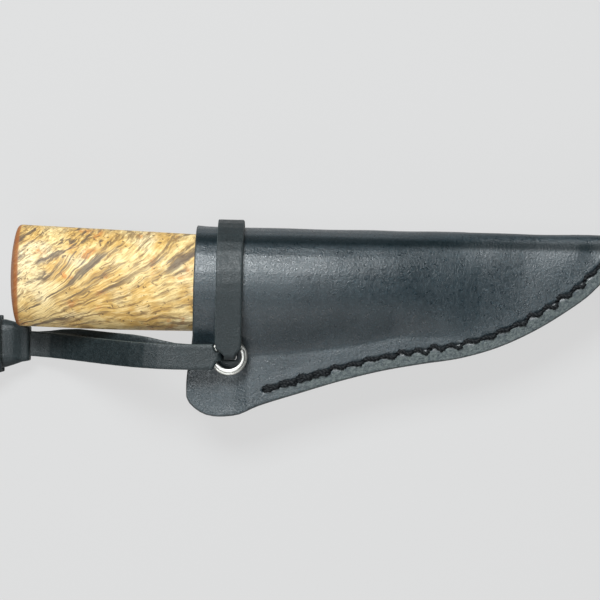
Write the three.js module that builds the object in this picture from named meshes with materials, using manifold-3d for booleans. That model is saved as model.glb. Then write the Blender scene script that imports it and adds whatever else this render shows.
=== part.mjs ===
// A whittling knife put away in its folded leather sheath, with a split ring and a belt hanger.
// Millimetres. The object lies on its back: +X runs from the butt of the handle to the tip of the
// sheath, +Y points to the folded spine of the sheath and +Z up, away from the surface it lies on.
// The shapes are worked out in a frame whose X is 0 at the sheath mouth and whose Y is 0 on the axis
// of the knife. The finished group is then moved so that the origin is in the flat patch at the
// back of the sheath, on which the object rests.

import * as THREE from 'three';
import { mergeVertices } from 'three/addons/utils/BufferGeometryUtils.js';
import Module from 'manifold-3d';

const wasm = await Module();
wasm.setup();

// ---------------------------------------------------------------- driving dimensions

// Knife
const HANDLE_LENGTH = 114;
const HANDLE_EXPOSED = 52.8; // the part of its length that stands out of the sheath
const HANDLE_DEPTH = 28.2; // along Y, at the sheath mouth
const HANDLE_THICKNESS = 22; // along Z
const HANDLE_ROUNDNESS = 2.1; // exponent of its superellipse section
const BUTT_DOME = 2.4; // how far the end of the handle bulges
const BLADE_LENGTH = 54;
const BLADE_DEPTH = 19;
const BLADE_OFFSET = 0.7; // how far its middle stands towards the spine
const BLADE_THICKNESS = 2.5;
const BEVEL_HEIGHT = 5.5;
const EDGE_THICKNESS = 0.2;
const TANG_LENGTH = 69;
const TANG_DEPTH = 8;
const GLUE_LINE = 0.6; // wall of the glue round the tang

// Sheath
const LEATHER = 2;
const TIP_ROOM = 12.3; // from the tip of the blade to the tip of the sheath
const FLAP_DROP = 24.4; // how far the flap hangs below the handle
const KNIFE_ROOM = 0.9; // between the knife and the leather, on each side
const SPINE_ROOM = 0.15; // between the back of the handle and the fold
const BLADE_ROOM = 1.05; // between the blade and the leather, on each side
const MOUTH_LIP = 0.4; // how far the mouth opens at the spine
const MOUTH_LIP_LENGTH = 12;
const DRAPE = 36; // how long the leather takes to come down from the handle to the blade
const DRAPE_REACH = 1.55; // half depths of the handle from its middle to where the panels meet
const DRAPE_POWER = 1.6; // how softly the panels come together there
const WELT_THICKNESS = 3;
const WELT_WIDTH = 6.5;
const WELT_START = 19;
const WELT_END_ROOM = 3; // from the end of the welt to the inside of the fold
const WELT_BLADE_ROOM = 0.4; // between the welt and the blade
const PANEL_GAP = 0.8; // between the two panels where there is no welt
const WELT_RAMP = 9; // length over which the panels part in front of the welt
const SHELL_MARGIN = 3; // how far the panels are drawn past the cut edge before they are cut
const REST_BULGE_START = 18; // the back panel sags to the resting surface from here
const REST_BULGE_END = 56;
const REST_BULGE_RISE = 10; // lengths over which it comes down to the surface and goes up again
const REST_BULGE_FALL = 8;
const REST_PATCH_DIP = 0.6; // how far the bulge would reach below the surface, cut flat
const REST_X = 38; // the middle of the flat patch

// Seam
const SEAM_INSET = 3.9; // from the cut edge to the row of holes
const SEAM_START = 20.4;
const SEAM_END_ROOM = 3.5; // from the last hole to the inside of the fold
const STITCH_PITCH = 4.65;
const THREAD_RADIUS = 0.36;
const THREAD_OFFSET = 0.52; // half the distance between the two threads in one hole
const THREAD_CORNER = 0.45; // how far its bends cut their corners
const HOLE_RADIUS = 1.25;

// Collar strap
const COLLAR_X = 10.65;
const COLLAR_WIDTH = 7.5;
const COLLAR_THICKNESS = 1.8;
const COLLAR_WAIST = 3; // its width where it passes the ring and the slot
const COLLAR_SHIFT = 0.45; // how far the waist stands towards the tip
const COLLAR_RISE_IN_RING = 0.95; // how far its near side stands off the middle of the ring
const COLLAR_BEND = 0.5; // how far its two bends in the ring cut their corners

// Split ring
const RING_X = 10.8;
const RING_RISE = 0.13; // from where the panels meet up to the middle of the ring
const RING_OUTER_RADIUS = 5.4;
const RING_INNER_RADIUS = 3.5;
const RING_WIRE_WIDTH = 1.3;
const RING_WIRE_HEIGHT = 1;
const RING_COIL_GAP = 0.12;
const RING_STEP = 30; // degrees on each side of the place where the wire changes coils
const RING_STEP_ANGLE = 60; // where that place is, in degrees from +X
const RING_LIFT = 2.9; // how far the draped leather holds the strap and the ring off the flap

// Hanger
const STRAP_WIDTH = 7.3;
const STRAP_THICKNESS = 1.4;
const STRAP_WAIST = 2.6; // its width in the ring
const STRAP_LEVEL = 18.6; // how far from the middle of the ring the strap stays level
const STRAP_BEND = 1.1; // radius of its two bends in the ring
const STRAP_IN_RING = 0.5; // between the strap's turn and the wire of the ring
const STRAP_TAPER = 1; // length over which it narrows to its waist
const BACK_LEG_SHIFT = 2; // how far the back leg stands out towards the knife
const NECK_START = 59.1; // from the middle of the ring to the mouth of the sleeve
const NECK_WALL = 1;
const NECK_LENGTH = 24;
const NECK_MOUTH_HALF = 5; // half its width at its mouth, and how much it widens after that
const NECK_FLARE = 2.1;
const NECK_SPREAD = 1.2;
const NECK_TURN = 36; // degrees by which the hanger turns away from the knife
const NECK_TURN_LENGTH = 26;
const HANGER_RISE = 2.2; // how far the neck stands towards the spine from the ring
const HANGER_BOW = 0.96; // how far the strap sags from the straight between its two ends
const STRAP_TAIL = 17; // length of the strap ends inside the sleeve
const LOOP_LEATHER = 1.6;
const LOOP_START = 8; // where the edge of the belt loop lies on the sleeve
const LOOP_WIDTH = 28;
const LOOP_FLARE = 24; // length over which it widens to that
const LOOP_OVERHANG = 1.2; // how far its edge stands out past the sleeve on each side
const LOOP_OPENING_START = 31;
const BELT_WIDTH = 42;
const BELT_GAP = 6; // room for the thickness of a belt
const LOOP_THREAD_AT = 13; // where the stitch through the neck is
const LOOP_STITCH = 1.7; // half the distance between its two holes
const HANGER_FLOOR = 1.1; // how high the stitch holds the neck and the loop off the surface
const CEILING_SLACK = 0.16; // between the sleeve and the loop over it, in heights of the sleeve

const GAP = 0.3; // between pieces that touch

// ---------------------------------------------------------------- solids and curves

function toSolid(geometry) {
  const bare = geometry.clone();
  bare.deleteAttribute('normal');
  bare.deleteAttribute('uv');
  const merged = mergeVertices(bare, 1e-5);
  return new wasm.Manifold(new wasm.Mesh({
    numProp: 3,
    vertProperties: new Float32Array(merged.attributes.position.array),
    triVerts: new Uint32Array(merged.index.array),
  }));
}

function toGeometry(solid) {
  const mesh = solid.getMesh();
  const geometry = new THREE.BufferGeometry();
  geometry.setAttribute('position', new THREE.BufferAttribute(new Float32Array(mesh.vertProperties), 3));
  geometry.setIndex(new THREE.BufferAttribute(new Uint32Array(mesh.triVerts), 1));
  geometry.computeVertexNormals();
  return geometry;
}

function boxBetween(low, high) {
  const size = new THREE.Vector3().subVectors(high, low);
  const geometry = new THREE.BoxGeometry(size.x, size.y, size.z);
  const middle = new THREE.Vector3().addVectors(low, high).multiplyScalar(0.5);
  return geometry.translate(middle.x, middle.y, middle.z);
}

// Six times the volume inside the faces: its sign says which way they point.
function signedVolume(points, faces) {
  const normal = new THREE.Vector3();
  return faces.reduce((sum, [a, b, c]) => {
    normal.crossVectors(points[b], points[c]);
    return sum + points[a].dot(normal);
  }, 0);
}

// Joins rings of points with the same count into one closed skin. The two end rings are capped,
// unless the rings close on themselves.
function loft(rings, closed = false) {
  const count = rings[0].length;
  const points = rings.flat();
  const faces = [];
  const spans = closed ? rings.length : rings.length - 1;
  for (let i = 0; i < spans; i += 1) {
    const here = i * count;
    const next = ((i + 1) % rings.length) * count;
    for (let j = 0; j < count; j += 1) {
      const k = (j + 1) % count;
      faces.push([here + j, here + k, next + k]);
      faces.push([here + j, next + k, next + j]);
    }
  }
  if (!closed) {
    const last = (rings.length - 1) * count;
    capFaces(rings[0]).forEach(([a, b, c]) => faces.push([a, c, b]));
    capFaces(rings[rings.length - 1]).forEach(([a, b, c]) => faces.push([last + a, last + b, last + c]));
  }
  if (signedVolume(points, faces) < 0) {
    faces.forEach((face) => face.reverse());
  }
  const geometry = new THREE.BufferGeometry().setFromPoints(points);
  geometry.setIndex(faces.flat());
  geometry.computeVertexNormals();
  return geometry;
}

// Triangles over a flat ring, turned so that they go round it in the ring's own direction.
function capFaces(ring) {
  const area = new THREE.Vector3();
  ring.forEach((point, i) => {
    area.add(new THREE.Vector3().crossVectors(point, ring[(i + 1) % ring.length]));
  });
  area.normalize();
  const side = new THREE.Vector3(0, 0, 1);
  if (Math.abs(area.z) > 0.9) {
    side.set(0, 1, 0);
  }
  const across = new THREE.Vector3().crossVectors(side, area).normalize();
  const along = new THREE.Vector3().crossVectors(area, across);
  const flat = ring.map((point) => new THREE.Vector2(point.dot(across), point.dot(along)));
  return THREE.ShapeUtils.triangulateShape(flat, []);
}

function smoothStep(value) {
  const clamped = THREE.MathUtils.clamp(value, 0, 1);
  return clamped * clamped * (3 - 2 * clamped);
}

function mix(from, to, share) {
  return from + (to - from) * share;
}

// A smooth curve through [place, value] pairs that never overshoots them.
function profile(pairs) {
  const slopes = pairs.map((pair, i) => {
    if (i === 0 || i === pairs.length - 1) {
      return 0;
    }
    const before = (pair[1] - pairs[i - 1][1]) / (pair[0] - pairs[i - 1][0]);
    const after = (pairs[i + 1][1] - pair[1]) / (pairs[i + 1][0] - pair[0]);
    return before * after <= 0 ? 0 : (2 * before * after) / (before + after);
  });
  slopes[0] = (pairs[1][1] - pairs[0][1]) / (pairs[1][0] - pairs[0][0]);
  return (place) => {
    if (place <= pairs[0][0]) {
      return pairs[0][1];
    }
    const i = pairs.findIndex((pair) => pair[0] >= place);
    if (i < 0) {
      return pairs[pairs.length - 1][1];
    }
    const [x0, y0] = pairs[i - 1];
    const [x1, y1] = pairs[i];
    const width = x1 - x0;
    const t = (place - x0) / width;
    const rise = (1 + 2 * t) * (1 - t) ** 2 * y0 + t * t * (3 - 2 * t) * y1;
    return rise + t * (1 - t) ** 2 * width * slopes[i - 1] - t * t * (1 - t) * width * slopes[i];
  };
}

// Sweeps a section along a path with mitred corners. side(i) is the direction in which the first
// number of a section point is laid off; the second one lies across it and the path.
function sweep(path, sectionAt, sideAt, closed = false) {
  const count = path.length;
  const rings = path.map((point, i) => {
    const before = closed ? path[(i + count - 1) % count] : path[Math.max(i - 1, 0)];
    const after = closed ? path[(i + 1) % count] : path[Math.min(i + 1, count - 1)];
    const arriving = new THREE.Vector3().subVectors(point, before).normalize();
    const leaving = new THREE.Vector3().subVectors(after, point).normalize();
    const tangent = new THREE.Vector3().addVectors(arriving, leaving).normalize();
    const straight = closed || (i > 0 && i < count - 1) ? arriving.dot(leaving) : 1;
    const stretch = 1 / Math.sqrt((1 + straight) / 2);
    const side = sideAt(i).clone();
    side.addScaledVector(tangent, -side.dot(tangent)).normalize();
    const across = new THREE.Vector3().crossVectors(tangent, side);
    return sectionAt(i).map(([a, b]) => point.clone()
      .addScaledVector(side, a)
      .addScaledVector(across, b * stretch));
  });
  return loft(rings, closed);
}

function roundSection(radius, sides) {
  return Array.from({ length: sides }, (_, k) => {
    const angle = (k / sides) * 2 * Math.PI;
    return [radius * Math.cos(angle), radius * Math.sin(angle)];
  });
}

function flatSection(width, thickness) {
  const a = width / 2;
  const b = thickness / 2;
  return [[-a, -b], [a, -b], [a, b], [-a, b]];
}

// ---------------------------------------------------------------- knife profile

const HANDLE_FRONT = HANDLE_LENGTH - HANDLE_EXPOSED;
const HANDLE_BUTT = -HANDLE_EXPOSED;
const HALF_DEPTH = HANDLE_DEPTH / 2;
const HALF_THICKNESS = HANDLE_THICKNESS / 2;

// Each pair is a share of the handle's length from the butt, and a share of its half size.
const BACK_SHARE = profile([[0, 1.13], [0.46, 1], [0.6, 0.957], [0.77, 0.879], [0.92, 0.752], [1, 0.68]]);
const BELLY_SHARE = profile([[0, 0.962], [0.3, 1.005], [0.46, 1], [0.6, 0.95], [0.77, 0.865], [0.92, 0.73],
  [1, 0.65]]);
const GIRTH_SHARE = profile([[0, 0.96], [0.3, 1], [0.5, 0.99], [0.65, 0.965], [0.8, 0.89], [0.9, 0.78],
  [0.97, 0.66], [1, 0.56]]);

function handleShare(x) {
  return (x - HANDLE_BUTT) / HANDLE_LENGTH;
}

function handleBack(x) {
  return HALF_DEPTH * BACK_SHARE(handleShare(x));
}

function handleBelly(x) {
  return -HALF_DEPTH * BELLY_SHARE(handleShare(x));
}

function handleGirth(x) {
  return HALF_THICKNESS * GIRTH_SHARE(handleShare(x));
}

// How far below the handle's middle the two panels meet.
function drapeReach(x) {
  return ((handleBack(x) - handleBelly(x)) / 2) * DRAPE_REACH;
}

function handleMiddle(x) {
  return (handleBack(x) + handleBelly(x)) / 2;
}

const RING_Y = handleMiddle(RING_X) - drapeReach(RING_X) + RING_RISE;
const BLADE_SPINE = BLADE_DEPTH / 2 + BLADE_OFFSET;
const BLADE_EDGE = BLADE_SPINE - BLADE_DEPTH;
const BLADE_TIP = HANDLE_FRONT + GAP + BLADE_LENGTH;

// ---------------------------------------------------------------- heights

// The knife's middle plane stands where the collar strap just touches the surface underneath.
const CAVITY_HALF = HALF_THICKNESS + KNIFE_ROOM;
const MIDDLE = CAVITY_HALF + LEATHER + GAP + COLLAR_THICKNESS;
const FLAP_TOP = MIDDLE + PANEL_GAP / 2 + LEATHER;
const BACK_LEG = FLAP_TOP + RING_LIFT + STRAP_THICKNESS / 2;
const RING_BOTTOM = BACK_LEG + STRAP_THICKNESS / 2 + GAP;
const RING_HEIGHT = 2 * RING_WIRE_HEIGHT + RING_COIL_GAP;
const RING_TOP = RING_BOTTOM + RING_HEIGHT;
const FRONT_LEG = RING_TOP + GAP + STRAP_THICKNESS / 2;

// ---------------------------------------------------------------- knife

// Half sizes of the tang and of the slot in the handle that holds it and its glue.
const TANG_Y = TANG_DEPTH / 2;
const TANG_Z = BLADE_THICKNESS / 2;
const BORE_Y = TANG_Y + GLUE_LINE + 2 * GAP;
const BORE_Z = TANG_Z + GLUE_LINE + 2 * GAP;

const SECTION_POINTS = 28;

function handleRing(x, scale) {
  const back = handleBack(Math.max(x, HANDLE_BUTT));
  const belly = handleBelly(x);
  const centre = (back + belly) / 2;
  const half = ((back - belly) / 2) * scale;
  const girth = handleGirth(x) * scale;
  return Array.from({ length: SECTION_POINTS }, (_, k) => {
    const angle = (k / SECTION_POINTS) * 2 * Math.PI;
    const c = Math.cos(angle);
    const s = Math.sin(angle);
    const power = 2 / HANDLE_ROUNDNESS;
    const y = centre + half * Math.sign(c) * Math.abs(c) ** power;
    const z = MIDDLE + girth * Math.sign(s) * Math.abs(s) ** power;
    return new THREE.Vector3(x, y, z);
  });
}

function handleGeometry() {
  const rings = [];
  // The dome at the butt: rings that grow from its middle.
  for (const [scale, rise] of [[0.3, 0], [0.6, 0.2], [0.82, 0.45], [0.94, 0.68], [0.985, 0.85]]) {
    rings.push(handleRing(HANDLE_BUTT + BUTT_DOME * rise, scale));
  }
  const steps = 15;
  for (let i = 0; i <= steps; i += 1) {
    const x = mix(HANDLE_BUTT + BUTT_DOME * 1.2, HANDLE_FRONT - 1, i / steps);
    rings.push(handleRing(x, 1));
  }
  rings.push(handleRing(HANDLE_FRONT, 0.93));
  const slot = boxBetween(
    new THREE.Vector3(HANDLE_FRONT - TANG_LENGTH - 2 * GAP, -BORE_Y, MIDDLE - BORE_Z),
    new THREE.Vector3(HANDLE_FRONT + 1, BORE_Y, MIDDLE + BORE_Z),
  );
  return toGeometry(toSolid(loft(rings)).subtract(toSolid(slot)));
}

function epoxyGeometry() {
  const back = HANDLE_FRONT - TANG_LENGTH - GAP;
  const outer = boxBetween(
    new THREE.Vector3(back, -BORE_Y + GAP, MIDDLE - BORE_Z + GAP),
    new THREE.Vector3(HANDLE_FRONT - GAP, BORE_Y - GAP, MIDDLE + BORE_Z - GAP),
  );
  const inner = boxBetween(
    new THREE.Vector3(back - 1, -TANG_Y - GAP, MIDDLE - TANG_Z - GAP),
    new THREE.Vector3(HANDLE_FRONT + 1, TANG_Y + GAP, MIDDLE + TANG_Z + GAP),
  );
  return toGeometry(toSolid(outer).subtract(toSolid(inner)));
}

// The belly of the blade: straight along the edge, then up to the tip, as shares of its length
// and depth.
const EDGE_SHARE = profile([[0, 0], [0.5, 0.04], [0.62, 0.17], [0.76, 0.42], [0.87, 0.65], [0.95, 0.83],
  [1, 0.97]]);

const BLADE_START = HANDLE_FRONT + GAP;

function bladeEdge(share) {
  return BLADE_EDGE + BLADE_DEPTH * EDGE_SHARE(share);
}

function bladeGeometry() {
  const start = BLADE_START;
  const rings = [];
  const steps = 16;
  for (let i = 0; i <= steps; i += 1) {
    const share = (i / steps) ** 0.8;
    const x = start + BLADE_LENGTH * share;
    const edge = bladeEdge(share);
    const spine = BLADE_SPINE;
    const half = (BLADE_THICKNESS / 2) * mix(1, 0.45, smoothStep((share - 0.55) / 0.45));
    const bevel = mix(edge, spine, Math.min(BEVEL_HEIGHT / (spine - edge), 0.75));
    const thin = EDGE_THICKNESS / 2;
    rings.push([
      [spine, -half], [spine, half], [bevel, half], [edge, thin], [edge, -thin], [bevel, -half],
    ].map(([y, z]) => new THREE.Vector3(x, y, MIDDLE + z)));
  }
  const tang = boxBetween(
    new THREE.Vector3(HANDLE_FRONT - TANG_LENGTH, -TANG_Y, MIDDLE - TANG_Z),
    new THREE.Vector3(start + 2, TANG_Y, MIDDLE + TANG_Z),
  );
  return toGeometry(toSolid(loft(rings)).add(toSolid(tang)));
}

// ---------------------------------------------------------------- sheath

const SPINE = handleBack(0) + SPINE_ROOM + LEATHER;
const SHEATH_TIP = BLADE_TIP + TIP_ROOM;
const FLAP_BOTTOM = handleBelly(0) - FLAP_DROP;

// The cut edge from the mouth round the flap to the tip. Near the mouth each pair is a distance from
// the mouth and a share of the flap's drop, in the middle it is a share of the way to the tip part
// and again a share of the drop, and at the tip it is distances back from the tip and down from the
// fold.
const MOUTH_EDGE = [
  [0.2, 0.4], [-0.6, 0.55], [-1.4, 0.7], [-1.5, 0.82], [-1.1, 0.885], [1.1, 0.945], [4, 0.988],
  [7.4, 1.003], [10.9, 0.998], [14.3, 0.98],
];
const LONG_EDGE = [
  [0, 0.912], [0.166, 0.813], [0.332, 0.717], [0.5, 0.636], [0.667, 0.577], [0.834, 0.525],
];
const TIP_EDGE = [
  [38.5, 32.8], [27, 27], [15.6, 19.3], [10.1, 14.1], [4.7, 8.4], [1.5, 4.7], [0, 2.4], [0.4, 0.1],
];
const LONG_EDGE_START = 19.9;
const MOUTH_AT_SPINE = 0.7;

const longEdgeEnd = SHEATH_TIP - TIP_EDGE[0][0];
const cutEdge = new THREE.SplineCurve([
  ...MOUTH_EDGE.map(([x, drop]) => new THREE.Vector2(x, drop * FLAP_BOTTOM)),
  ...LONG_EDGE.map(([share, drop]) => new THREE.Vector2(
    mix(LONG_EDGE_START, longEdgeEnd, share),
    drop * FLAP_BOTTOM,
  )),
  ...TIP_EDGE.map(([back, down]) => new THREE.Vector2(SHEATH_TIP - back, SPINE - down)),
]);

function sheathOutline() {
  const edge = cutEdge.getSpacedPoints(84);
  const top = SPINE + SHELL_MARGIN;
  return [new THREE.Vector2(MOUTH_AT_SPINE, top), ...edge, new THREE.Vector2(SHEATH_TIP - 2, top)];
}

// Half the room between the panels along the knife: round the handle, then straight down to the
// blade.
const BLADE_HALF = BLADE_THICKNESS / 2 + BLADE_ROOM;
const roundHandle = [0.42, 0.5, 0.65, 0.8, 0.9, 0.97].map((share) => [
  HANDLE_BUTT + share * HANDLE_LENGTH,
  HALF_THICKNESS * GIRTH_SHARE(share) + KNIFE_ROOM,
]);
const frontHalf = roundHandle[roundHandle.length - 1][1];
const cavityHalf = profile([
  ...roundHandle,
  [HANDLE_FRONT + DRAPE / 3, mix(frontHalf, BLADE_HALF, 0.5)],
  [HANDLE_FRONT + (2 * DRAPE) / 3, mix(frontHalf, BLADE_HALF, 0.85)],
  [HANDLE_FRONT + DRAPE, BLADE_HALF],
]);

// How far the back panel sags from the knife to the surface underneath.
function restSag(x) {
  const rise = smoothStep((x - REST_BULGE_START) / REST_BULGE_RISE);
  const fall = smoothStep((REST_BULGE_END - x) / REST_BULGE_FALL);
  return Math.min(rise, fall);
}

function seamHalf(x) {
  const welted = WELT_THICKNESS / 2 + GAP;
  return mix(PANEL_GAP / 2, welted, smoothStep((x - WELT_START + 1) / WELT_RAMP + 1));
}

// The inner line of one panel at x, from the cut edge up to the fold, as [y, distance from the
// middle plane].
function panelLine(x, half) {
  const line = [];
  const centre = handleMiddle(x);
  const top = SPINE - LEATHER + MOUTH_LIP * (1 - smoothStep(x / MOUTH_LIP_LENGTH));
  const reach = drapeReach(x);
  const seam = seamHalf(x);
  line.push([FLAP_BOTTOM - SHELL_MARGIN, seam]);
  const lowerSteps = 10;
  for (let i = 0; i < lowerSteps; i += 1) {
    const share = 1 - i / lowerSteps;
    line.push([centre - reach * share, seam + (half - seam) * (1 - share * share) ** DRAPE_POWER]);
  }
  const upperSteps = 9;
  const power = 2 / HANDLE_ROUNDNESS;
  for (let i = 0; i < upperSteps; i += 1) {
    const angle = (i / upperSteps) * (Math.PI / 2);
    const y = centre + (top - centre) * Math.sin(angle) ** power;
    line.push([y, half * Math.cos(angle) ** power]);
  }
  return { line, top };
}

// The section of the folded leather at x, as a closed line of [y, z].
function shellSection(x) {
  const half = cavityHalf(x);
  const sagging = MIDDLE + REST_PATCH_DIP - LEATHER;
  const front = panelLine(x, half);
  const back = panelLine(x, mix(half, Math.max(half, sagging), restSag(x)));
  const inner = [
    ...front.line.map(([y, z]) => new THREE.Vector2(y, MIDDLE + z)),
    new THREE.Vector2(front.top, MIDDLE),
    ...back.line.map(([y, z]) => new THREE.Vector2(y, MIDDLE - z)).reverse(),
  ];
  const outer = inner.map((point, i) => {
    const before = inner[Math.max(i - 1, 0)];
    const after = inner[Math.min(i + 1, inner.length - 1)];
    const along = new THREE.Vector2().subVectors(after, before).normalize();
    return new THREE.Vector2(point.x - along.y * LEATHER, point.y + along.x * LEATHER);
  });
  return { inner, outer };
}

const STITCHES = stitchPlaces();

// The holes of the seam: evenly spaced on a line that follows the cut edge.
function stitchPlaces() {
  const samples = 400;
  const row = [];
  for (let i = 0; i <= samples; i += 1) {
    const share = i / samples;
    const point = cutEdge.getPoint(share);
    const along = cutEdge.getTangent(share);
    const inward = new THREE.Vector2(-along.y, along.x);
    row.push({ point: point.addScaledVector(inward, SEAM_INSET), along, inward });
  }
  const usable = row.filter(({ point }) => point.x > SEAM_START && point.y < SPINE - LEATHER - SEAM_END_ROOM);
  const places = [usable[0]];
  for (const place of usable) {
    if (place.point.distanceTo(places[places.length - 1].point) >= STITCH_PITCH) {
      places.push(place);
    }
  }
  return places;
}

function prism(points, low, high) {
  const geometry = new THREE.ExtrudeGeometry(new THREE.Shape(points), {
    depth: high - low,
    bevelEnabled: false,
  });
  return geometry.translate(0, 0, low);
}

function stitchHoles(low, high) {
  return STITCHES.map(({ point, along, inward }) => {
    const ring = roundSection(HOLE_RADIUS, 6).map(([a, b]) => new THREE.Vector2()
      .copy(point)
      .addScaledVector(along, a)
      .addScaledVector(inward, b));
    return toSolid(prism(ring, low, high));
  });
}

const SHELL_STATIONS = 32;

function shellGeometry() {
  const rings = [];
  for (let i = 0; i <= SHELL_STATIONS; i += 1) {
    const x = mix(-4, SHEATH_TIP + 1, i / SHELL_STATIONS);
    const { inner, outer } = shellSection(x);
    rings.push([...inner, ...outer.reverse()].map((point) => new THREE.Vector3(x, point.x, point.y)));
  }
  let shell = toSolid(loft(rings));
  shell = shell.intersect(toSolid(prism(sheathOutline(), 0, 3 * MIDDLE)));
  const waist = COLLAR_X + COLLAR_SHIFT;
  const slotHalf = COLLAR_WAIST / 2 + GAP;
  shell = shell.subtract(toSolid(boxBetween(
    new THREE.Vector3(waist - slotHalf, COLLAR_BOTTOM - COLLAR_THICKNESS - GAP, 0),
    new THREE.Vector3(waist + slotHalf, COLLAR_BOTTOM + GAP, 3 * MIDDLE),
  )));
  stitchHoles(0, 3 * MIDDLE).forEach((hole) => {
    shell = shell.subtract(hole);
  });
  return toGeometry(shell);
}

// The room that the welt leaves for the blade.
function bladeRoom(low, high) {
  const steps = 24;
  const outline = [new THREE.Vector2(BLADE_START, SPINE)];
  for (let i = 0; i <= steps; i += 1) {
    const share = i / steps;
    outline.push(new THREE.Vector2(BLADE_START + BLADE_LENGTH * share, bladeEdge(share) - WELT_BLADE_ROOM));
  }
  outline.push(new THREE.Vector2(BLADE_TIP + WELT_BLADE_ROOM, bladeEdge(1)));
  outline.push(new THREE.Vector2(BLADE_TIP + WELT_BLADE_ROOM, SPINE));
  return toSolid(prism(outline, low, high));
}

function weltGeometry() {
  const low = MIDDLE - WELT_THICKNESS / 2;
  const high = MIDDLE + WELT_THICKNESS / 2;
  const samples = 60;
  const outside = [];
  const inside = [];
  for (let i = 0; i <= samples; i += 1) {
    const share = i / samples;
    const point = cutEdge.getPoint(share);
    const along = cutEdge.getTangent(share);
    const inner = point.clone().add(new THREE.Vector2(-along.y, along.x).multiplyScalar(WELT_WIDTH));
    if (inner.x > WELT_START && inner.y < SPINE - LEATHER - WELT_END_ROOM) {
      outside.push(point);
      inside.unshift(inner);
    }
  }
  let welt = toSolid(prism([...outside, ...inside], low, high)).subtract(bladeRoom(low - 1, high + 1));
  stitchHoles(low - 1, high + 1).forEach((hole) => {
    welt = welt.subtract(hole);
  });
  return toGeometry(welt);
}

// The outer face of the front (1) or back (-1) panel at a point of the flap.
function panelFace(point, side) {
  const { line } = panelLine(point.x, cavityHalf(point.x));
  const i = Math.max(line.findIndex(([y]) => y > point.y), 1);
  const share = (point.y - line[i - 1][0]) / (line[i][0] - line[i - 1][0]);
  return MIDDLE + side * (mix(line[i - 1][1], line[i][1], share) + LEATHER);
}

// One of the two threads of the saddle stitch. It runs along the front between every other pair of
// holes and along the back in between.
function threadGeometry(startSide, offset) {
  const path = [];
  const sides = [];
  const clear = THREAD_RADIUS + GAP;
  const corner = THREAD_CORNER;
  STITCHES.forEach(({ point, along, inward }, i) => {
    const here = point.clone().addScaledVector(inward, offset);
    const arriving = i % 2 === 0 ? -startSide : startSide;
    const place = (side, slide, drop) => {
      const z = panelFace(point, side) + side * (clear - drop);
      path.push(new THREE.Vector3(here.x + along.x * slide, here.y + along.y * slide, z));
      sides.push(new THREE.Vector3(inward.x, inward.y, 0));
    };
    if (i > 0) {
      place(arriving, -corner, 0);
    }
    place(arriving, 0, corner);
    place(-arriving, 0, corner);
    if (i < STITCHES.length - 1) {
      place(-arriving, corner, 0);
    }
  });
  return sweep(path, () => roundSection(THREAD_RADIUS, 6), (i) => sides[i]);
}

// ---------------------------------------------------------------- collar strap

// The side of the strap that faces the knife where it passes the ring and the slot, and the place
// where it starts to narrow to a tongue.
const COLLAR_BOTTOM = RING_Y + COLLAR_RISE_IN_RING;
const TONGUE_START = RING_Y + RING_INNER_RADIUS;

function cross(origin, a, b) {
  return (a.x - origin.x) * (b.y - origin.y) - (a.y - origin.y) * (b.x - origin.x);
}

// The convex line round a set of points: the path of a strap pulled tight round them.
function tightLine(points) {
  const sorted = [...points].sort((a, b) => a.x - b.x || a.y - b.y);
  const half = (list) => {
    const chain = [];
    for (const point of list) {
      while (chain.length > 1 && cross(chain[chain.length - 2], chain[chain.length - 1], point) <= 0) {
        chain.pop();
      }
      chain.push(point);
    }
    chain.pop();
    return chain;
  };
  return [...half(sorted), ...half(sorted.reverse())];
}

function collarGeometry() {
  const lift = GAP + COLLAR_THICKNESS / 2;
  const wrapped = [];
  for (const x of [COLLAR_X - COLLAR_WIDTH / 2, COLLAR_X, COLLAR_X + COLLAR_WIDTH / 2]) {
    const { outer } = shellSection(x);
    wrapped.push(...outer.filter((point) => point.x > COLLAR_BOTTOM));
  }
  const around = tightLine(wrapped);
  const middle = around.map((point, i) => {
    const before = around[(i + around.length - 1) % around.length];
    const after = around[(i + 1) % around.length];
    const along = new THREE.Vector2().subVectors(after, before).normalize();
    return new THREE.Vector2(point.x + along.y * lift, point.y - along.x * lift);
  });
  const bend = COLLAR_BEND;
  const bottom = COLLAR_BOTTOM - COLLAR_THICKNESS / 2;
  const front = FRONT_LEG + STRAP_THICKNESS / 2 + GAP + COLLAR_THICKNESS / 2;
  const back = panelFace({ x: COLLAR_X, y: COLLAR_BOTTOM }, -1) - GAP - COLLAR_THICKNESS / 2;
  const corners = [
    new THREE.Vector2(bottom + bend, front), new THREE.Vector2(bottom, front - bend),
    new THREE.Vector2(bottom, back + bend), new THREE.Vector2(bottom + bend, back),
  ];
  const line = tightLine([...middle, ...corners]).filter((point, i, all) => {
    const next = all[(i + 1) % all.length];
    return point.distanceTo(next) > 0.35;
  });
  const path = [];
  line.forEach((point, i) => {
    const next = line[(i + 1) % line.length];
    const nearRing = Math.min(point.x, next.x) < TONGUE_START && Math.abs(point.x - next.x) > bend;
    const steps = nearRing ? 12 : 1;
    for (let k = 0; k < steps; k += 1) {
      const place = point.clone().lerp(next, k / steps);
      path.push(new THREE.Vector3(COLLAR_X, place.x, place.y));
    }
  });
  const tongue = TONGUE_START - bottom - bend;
  const spread = (i) => {
    const share = THREE.MathUtils.clamp((TONGUE_START - path[i].y) / tongue, 0, 1);
    const round = Math.sqrt(1 - share * share);
    const half = mix(COLLAR_WAIST, COLLAR_WIDTH, round) / 2;
    const shift = COLLAR_SHIFT * (1 - round);
    const thick = COLLAR_THICKNESS / 2;
    return [[shift - half, -thick], [shift + half, -thick], [shift + half, thick], [shift - half, thick]];
  };
  return sweep(path, spread, () => new THREE.Vector3(1, 0, 0), true);
}

// ---------------------------------------------------------------- split ring

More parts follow.
